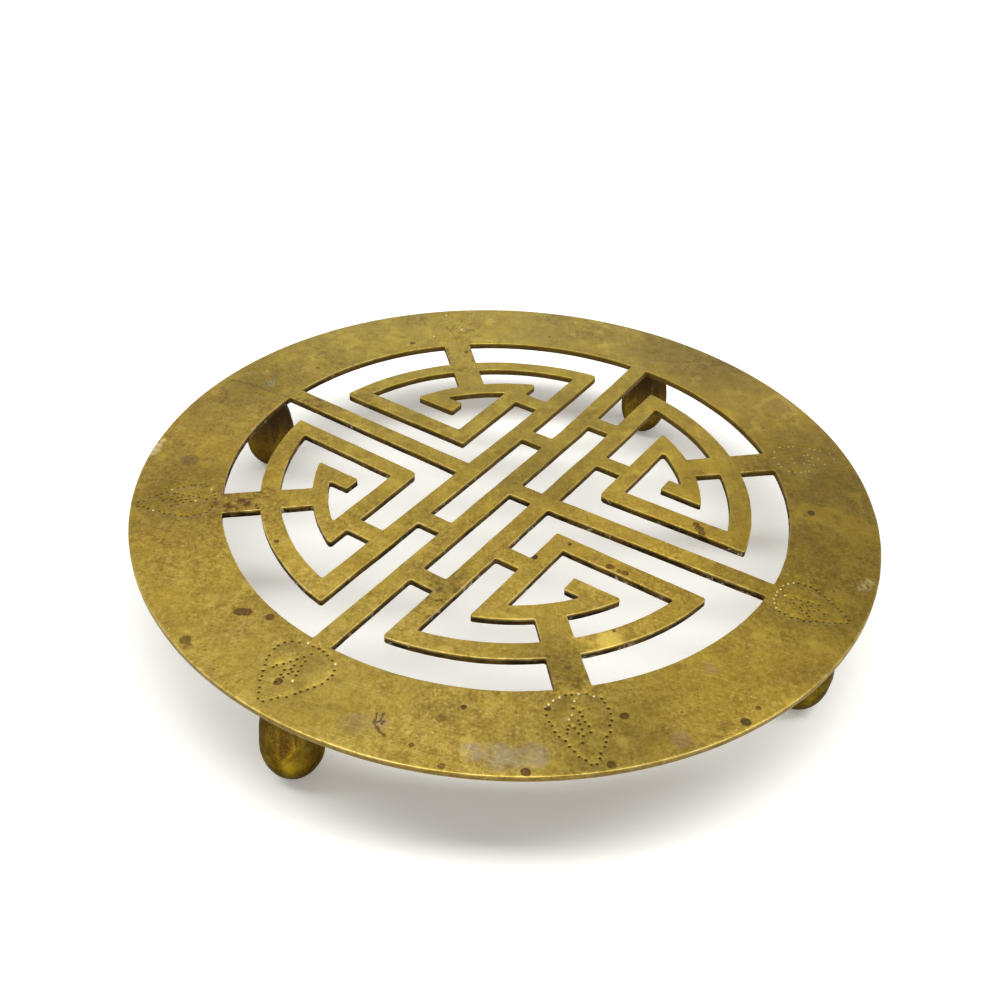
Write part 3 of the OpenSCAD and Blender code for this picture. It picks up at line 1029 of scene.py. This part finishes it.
def tarnished(p, colour):
    """Lays foxing, dirty crusts, small gleams and specks over the sheet."""
    dirty = p.spots(DIRTY, p.flat(p.warp(6.0, 3.0, 4.1)), soft=1.4)
    crust = p.step(p.noise(2.2, detail=4.0, rough=0.7, seed=8.8), 0.47, 0.60)
    foxed = p.step(p.noise(3.4, detail=4.0, rough=0.65, seed=8.0), 0.575, 0.625)
    foxed = p.times(foxed, p.step(p.noise(24.0, seed=8.5), 0.40, 0.62, 0.15, 1.0))
    gleam = p.step(p.noise(6.0, detail=4.0, rough=0.6, seed=9.0), 0.575, 0.64)
    crowd = p.step(p.noise(14.0, seed=7.0), 0.36, 0.58)
    return p.layers(
        colour,
        (p.times(dirty, crust), 0.75, (94, 66, 28)),
        (foxed, 0.42, (112, 84, 36)),
        (gleam, 0.35, (198, 172, 74)),
        (p.times(p.specks(1.9, 0.26, 0.45, seed=5.0), crowd), 0.9, (76, 56, 22)),
        (p.specks(7.5, 0.48, 0.40, seed=6.0), 0.75, (84, 60, 24)),
    )


def all_scratches(p):
    """One mask for the fine scratches in all their directions."""
    lines = None
    for scratch in SCRATCHES:
        made = p.scratches(*scratch)
        lines = made if lines is None else p.math("MAXIMUM", lines, made)
    return lines


def shaded(p, colour):
    """Applies the soft wide changes of brightness and hue."""
    colour = p.scaled(colour, p.tones(TONES, p.flat()))
    colour = p.mix(1.0, colour, WARM_CAST, how="MULTIPLY")
    for x, y, reach, cast in CASTS:
        near = p.step(p.gap(x, y, p.flat()), reach * RADIUS, 0.25 * reach * RADIUS)
        colour = p.mix(near, colour, cast, how="MULTIPLY")
    return colour


def sawn(p, colour, saw, front_wear_and_light, wall, rim):
    """Colours the sawn walls with their pale residue, the filed rim and the worn edges; the walls'
    darkness is partly painted shade, the back walls are painted lighter, and the edges' brightness
    is partly a painted highlight.
    """
    wall_grime_and_shade = p.noise(5.0, detail=3.0, rough=0.6, seed=24.0)
    residue = p.step(p.noise(1.6, detail=3.0, rough=0.7, seed=22.0), 0.54, 0.66)
    residue = p.times(residue, p.step(p.noise(9.0, detail=1.0, seed=25.0), 0.46, 0.60))
    residue = p.times(residue, p.step(front_wear_and_light, 0.45, 0.85, 0.1, 1.0))
    # The walls' dark browns are partly tarnish and partly painted shade, standing for the shadowed
    # floor under the plate that they reflect.
    cut = p.mix(p.step(wall_grime_and_shade, 0.40, 0.62), tint(96, 74, 30), tint(46, 33, 15))
    cut = p.layers(
        cut,
        (p.step(saw, 0.48, 0.28), 0.7, (34, 24, 12)),
        # Painted light: the walls towards the back are lighter.
        (p.step(front_wear_and_light, 0.8, 0.3), 0.7, (112, 90, 38)),
        (residue, 0.75, (200, 188, 168)),
    )
    rim_wall = p.mix(p.step(saw, 0.3, 0.7), tint(98, 80, 34), tint(134, 112, 50))
    height = p.node("SeparateXYZ", {0: p.place}).outputs["Z"]
    low = p.step(height, (UNDER + 0.70) * MM, (UNDER + 0.50) * MM)
    rim_wall = p.layers(rim_wall, (low, 0.55, (180, 152, 96)))
    colour = p.mix(p.step(wall, 0.45, 0.95), colour, p.mix(rim, cut, rim_wall))
    # The pale bevel is partly worn brass and partly a painted highlight, stronger towards the
    # front.
    edge = p.step(p.noise(5.0, detail=3.0, seed=23.0), 0.40, 0.66, 0.15, 1.0)
    edge = p.times(p.attribute("worn"), edge)
    edge = p.times(edge, p.math("MULTIPLY_ADD", rim, -0.14, 0.38))
    return p.layers(colour, (edge, front_wear_and_light, (240, 222, 150)))


def sheet_brass():
    """Old polished sheet brass: mottled patina, scratches, specks, stains and dark saw cuts."""
    p = Paint("aged_sheet_brass")
    clouds = p.streaks(0.6, 40.0, 18.0, detail=3.0, seed=1.0)
    mottle = p.noise(2.8, detail=3.0, rough=0.6, seed=2.0, bend=0.3)
    grain = p.noise(0.7, rough=0.65, seed=3.0)
    saw = p.noise(1.4, detail=3.0, rough=0.7, seed=21.0)
    # Higher towards the front: fine marks and residue show more there, the edges take more painted
    # highlight, and at its low end the back walls are painted lighter.
    front_wear_and_light = p.step(p.gap(-0.2, 1.0, p.flat()), 0.5 * RADIUS, 1.5 * RADIUS, 0.30, 1.0)
    wall, rim, dent = (p.attribute(name) for name in ("wall", "rim", "dent"))
    lines = all_scratches(p)

    colour = bare_sheet(p, clouds, mottle, grain, front_wear_and_light)
    colour = tarnished(p, marked(p, colour))
    colour = p.layers(
        colour,
        (lines, 0.16, (214, 192, 112)),
        # The dimples are dark with dirt and with painted shade in their hollows.
        (p.step(dent, 0.0, 0.8), 0.9, (70, 49, 17)),
        # Pale dots: partly white residue, partly painted glints.
        (p.attribute("polish"), 0.85, (228, 212, 158)),
    )
    colour = sawn(p, shaded(p, colour), saw, front_wear_and_light, wall, rim)
    tarnish = p.mix(p.step(clouds, 0.35, 0.65), tint(96, 76, 38), tint(122, 100, 46))
    colour = p.mix(p.times(p.attribute("under"), 0.85), colour, tarnish)

    rough = p.step(p.noise(5.0, detail=4.0, rough=0.6, seed=31.0), 0.3, 0.7, 0.32, 0.46)
    rough = p.math("ADD", rough, p.times(wall, p.math("MULTIPLY_ADD", rim, -0.30, 0.42)))
    rough = p.math("MULTIPLY_ADD", dent, 0.25, rough)
    rough = p.math("MULTIPLY_ADD", lines, -0.08, rough)
    normal = p.bump(p.math("MULTIPLY_ADD", grain, 0.30, p.times(mottle, 0.6)), 0.05, 0.25)
    normal = p.bump(p.times(lines, -1.0), 0.02, 0.5, normal)
    normal = p.bump(p.times(saw, wall), 0.16, 0.7, normal)
    return p.finish(colour, rough, normal)


def cast_brass():
    """Cast brass gone olive and brown: dark in the hollows, bright where worn on the ribs, with a
    painted highlight on the swollen belly.
    """
    p = Paint("brown_cast_brass")
    clouds = p.noise(6.0, detail=3.0, rough=0.6, seed=41.0)
    grain = p.noise(0.9, detail=4.0, rough=0.65, seed=42.0)
    names = ("ridge", "hollow", "height", "brown", "red")
    ridge, hollow, height, brown, red = (p.attribute(name) for name in names)
    worn = p.step(p.noise(4.0, seed=44.0), 0.38, 0.62)
    sand = p.noise(0.45, rough=0.7, seed=45.0)
    # Painted highlight: a brighter band over the low middle part of each foot.
    belly = p.times(p.step(height, 0.56, 0.24), p.step(height, 0.04, 0.26))
    belly = p.times(belly, p.step(clouds, 0.42, 0.58, 0.1, 1.0))
    reddish = p.step(p.noise(5.0, detail=3.0, seed=46.0), 0.42, 0.60, 0.0, 0.50)
    # Ribs and folds are bright with wear; on the swollen belly the same colour is a painted
    # highlight.
    rubbed_and_highlit = p.times(ridge, p.math("MULTIPLY_ADD", worn, 0.35, 0.28))
    # Darker towards the top of each foot, where it meets the plate, starting lower on the browner
    # feet.
    start = p.math("MULTIPLY_ADD", brown, -0.45, 0.62)
    full = p.math("MULTIPLY_ADD", brown, -0.25, 0.92)
    dark_top = p.times(p.step(height, start, full), p.step(clouds, 0.2, 0.7, 0.5, 1.0))
    colour = p.mix(p.step(clouds, 0.35, 0.65), tint(82, 65, 21), tint(110, 90, 29))
    colour = p.layers(
        colour,
        (p.step(grain, 0.46, 0.74), 0.5, (146, 120, 34)),
        (p.step(grain, 0.48, 0.28), 0.6, (60, 44, 16)),
        (belly, p.step(brown, 1.0, 0.0, 0.15, 0.42), (156, 130, 30)),
        (reddish, red, (88, 56, 18)),
        (rubbed_and_highlit, p.step(grain, 0.38, 0.58, 0.5, 1.0), (184, 156, 36)),
        (hollow, p.step(clouds, 0.35, 0.60, 0.40, 0.80), (80, 50, 18)),
        (brown, 0.6, (84, 56, 20)),
        (p.step(sand, 0.52, 0.75), 0.35, (176, 150, 60)),
        (p.step(sand, 0.48, 0.25), 0.45, (44, 32, 14)),
        (dark_top, 0.8, (36, 28, 26)),
        (p.specks(1.5, 0.35, 0.35, seed=43.0), 0.7, (40, 30, 18)),
    )
    p.feed(p.shader, {"Specular Tint": (0.40, 0.43, 0.46, 1.0)})
    rough = p.step(grain, 0.3, 0.7, 0.34, 0.52)
    normal = p.bump(p.math("MULTIPLY_ADD", grain, 0.6, clouds), 0.22, 0.55)
    return p.finish(colour, rough, normal)


def soft_solder():
    """Dull grey solder with a skin of brown and a breath of green."""
    p = Paint("dull_soft_solder")
    clouds = p.noise(2.4, detail=4.0, rough=0.6, seed=51.0)
    grain = p.noise(0.5, detail=3.0, rough=0.6, seed=52.0)
    colour = p.mix(p.step(clouds, 0.35, 0.65), tint(96, 94, 84), tint(140, 138, 128))
    colour = p.layers(colour, (p.step(grain, 0.45, 0.70), 0.6, (84, 92, 72)))
    rough = p.step(grain, 0.3, 0.7, 0.42, 0.62)
    normal = p.bump(p.math("MULTIPLY_ADD", grain, 0.4, clouds), 0.2, 0.6)
    return p.finish(colour, rough, normal)


# Stage, light and camera.

WORLD_LEVEL = 0.37
KEY_POWER = 20.0
KEY_LENGTH = 2.8  # a long lamp overhead, laid from left to right as the camera sees it
KEY_WIDTH = 0.42
KEY_TURN = math.radians(31.7)
KEY_PLACE = (0.076, -0.079, 1.190)
# The floor's glow near the trivet and far from it, and how far from it that is, in metres.
FLOOR_LIFT, FAR_LIFT = 0.21, 0.65
NEAR, FAR = 0.20, 0.90
FLOOR_HALF = 4.0


def seen_rays(tree):
    """1 for camera, glossy and transmission rays, so that the metal shows the backdrop too."""
    path = tree.nodes.new("ShaderNodeLightPath")
    seen = path.outputs["Is Camera Ray"]
    for name in ("Is Glossy Ray", "Is Transmission Ray"):
        both = tree.nodes.new("ShaderNodeMath")
        both.operation = "MAXIMUM"
        tree.links.new(seen, both.inputs[0])
        tree.links.new(path.outputs[name], both.inputs[1])
        seen = both.outputs[0]
    return seen


def plain_world():
    world = bpy.data.worlds.new("soft_daylight")
    bpy.context.scene.world = world
    world.use_nodes = True
    tree = world.node_tree
    background = tree.nodes["Background"]
    level = tree.nodes.new("ShaderNodeMapRange")
    tree.links.new(seen_rays(tree), level.inputs["Value"])
    level.inputs["To Min"].default_value = WORLD_LEVEL
    level.inputs["To Max"].default_value = 1.0
    background.inputs["Color"].default_value = (1.0, 1.0, 1.0, 1.0)
    tree.links.new(level.outputs[0], background.inputs["Strength"])


def pale_floor():
    """A white sheet under the trivet, that keeps its shadow."""
    p = Paint("white_sheet")
    fibre = p.noise(6.0, detail=3.0, seed=61.0)
    colour = p.mix(fibre, (0.95, 0.945, 0.91, 1.0), (0.98, 0.975, 0.94, 1.0))
    p.finish(colour, 0.9, p.bump(fibre, 0.05, 0.1), metallic=0.0)
    p.feed(p.shader, {"Specular IOR Level": 0.1})
    level = p.step(p.vectors("LENGTH", p.place, out="Value"), NEAR, FAR, FLOOR_LIFT, FAR_LIFT)
    glow = {"Color": (1.0, 0.99, 0.93, 1.0), "Strength": p.times(seen_rays(p.tree), level)}
    lift = p.node("Emission", glow)
    both = p.node("AddShader", {0: p.shader.outputs[0], 1: lift.outputs[0]})
    p.feed(p.tree.nodes["Material Output"], {"Surface": both.outputs[0]})
    mesh = bpy.data.meshes.new("floor")
    corners = [(x * FLOOR_HALF, y * FLOOR_HALF, 0) for x, y in ((-1, -1), (1, -1), (1, 1), (-1, 1))]
    mesh.from_pydata(corners, [], [(0, 1, 2, 3)])
    mesh.materials.append(p.material)
    floor = put("floor", mesh)


def key_light():
    light = bpy.data.lights.new("key", "AREA")
    light.shape = "ELLIPSE"
    light.size = KEY_LENGTH
    light.size_y = KEY_WIDTH
    light.energy = KEY_POWER
    back = Vector(KEY_PLACE).normalized()
    side = Vector((math.cos(KEY_TURN), math.sin(KEY_TURN), 0.0))
    up = back.cross(side).normalized()
    stand("key", light, KEY_PLACE, up.cross(back), up, back)


LENS, SENSOR = 39.45, 36.0  # in mm
CAMERA_PLACE = (1.2551, -2.0661, 1.7962)
CAMERA_AIM = (-0.4165, 0.6744, -0.6097)
CAMERA_ROLL = math.radians(2.79)


def camera():
    """The photograph's viewpoint: its place in shares of R over the plate's top centre."""
    forward = Vector(CAMERA_AIM).normalized()
    right = forward.cross(Vector((0, 0, 1))).normalized()
    up = right.cross(forward)
    c, s = math.cos(CAMERA_ROLL), math.sin(CAMERA_ROLL)
    right, up = right * c + up * s, up * c - right * s
    data = bpy.data.cameras.new("camera")
    data.lens = LENS
    data.sensor_width = SENSOR
    data.sensor_fit = "HORIZONTAL"
    data.clip_start, data.clip_end = 0.01, 20.0
    place = Vector(CAMERA_PLACE) * RADIUS + Vector((0, 0, TOP * MM))
    stand("camera", data, place, right, up, -forward)
    bpy.context.scene.camera = bpy.data.objects["camera"]


# The scene.

bpy.context.scene.view_settings.view_transform = "Standard"
camera()
plain_world()
pale_floor()
key_light()

brass = sheet_brass()
casting = cast_brass()
solder = soft_solder()
make_plate(brass)
for number, side in enumerate(FEET):
    make_foot(side, casting, number)
    make_solder(side, solder, number)
